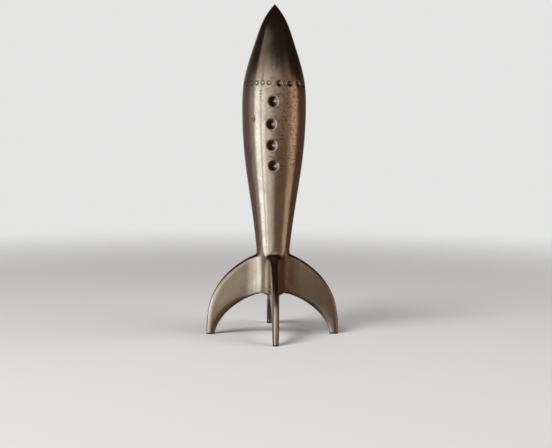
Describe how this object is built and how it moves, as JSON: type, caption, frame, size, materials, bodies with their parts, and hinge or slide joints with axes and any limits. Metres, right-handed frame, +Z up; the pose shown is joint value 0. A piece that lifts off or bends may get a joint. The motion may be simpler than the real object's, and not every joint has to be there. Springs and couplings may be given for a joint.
{
  "type": "rocket ornament",
  "caption": "Cast metal rocket ornament: hollow spindle hull with a dished rivet band and portholes, on arched fins with padded feet.",
  "frame": {"origin": "middle of the footprint, on the surface that the foot pads stand on", "axes": "+Z up along the hull towards its tip, -Y to the front where the portholes are, +X to the right seen from the front"},
  "size_m": [0.1442, 0.1442, 0.356],
  "materials": {
    "hull_metal": "satin polished, antique brown patina",
    "fin_metal": "satin polished, antique brown patina",
    "rivet_metal": "turned, darkened in the hollows",
    "cup_metal": "turned, darkened in the hollows",
    "plug_metal": "turned",
    "dowel_steel": "ground",
    "pad_rubber": "matt"
  },
  "bodies": {
    "root": {"nose_cone": "hull_metal", "body_shell": "hull_metal", "small_rivets": "rivet_metal", "large_rivets": "rivet_metal", "porthole_cup_1": "cup_metal", "porthole_cup_2": "cup_metal", "porthole_cup_3": "cup_metal", "porthole_cup_4": "cup_metal", "base_plug": "plug_metal", "front_fin": "fin_metal", "rear_fin": "fin_metal", "left_fin": "fin_metal", "right_fin": "fin_metal", "front_fin_dowels": "dowel_steel", "rear_fin_dowels": "dowel_steel", "left_fin_dowels": "dowel_steel", "right_fin_dowels": "dowel_steel", "front_foot_pad": "pad_rubber", "rear_foot_pad": "pad_rubber", "left_foot_pad": "pad_rubber", "right_foot_pad": "pad_rubber"}
  },
  "joints": []
}
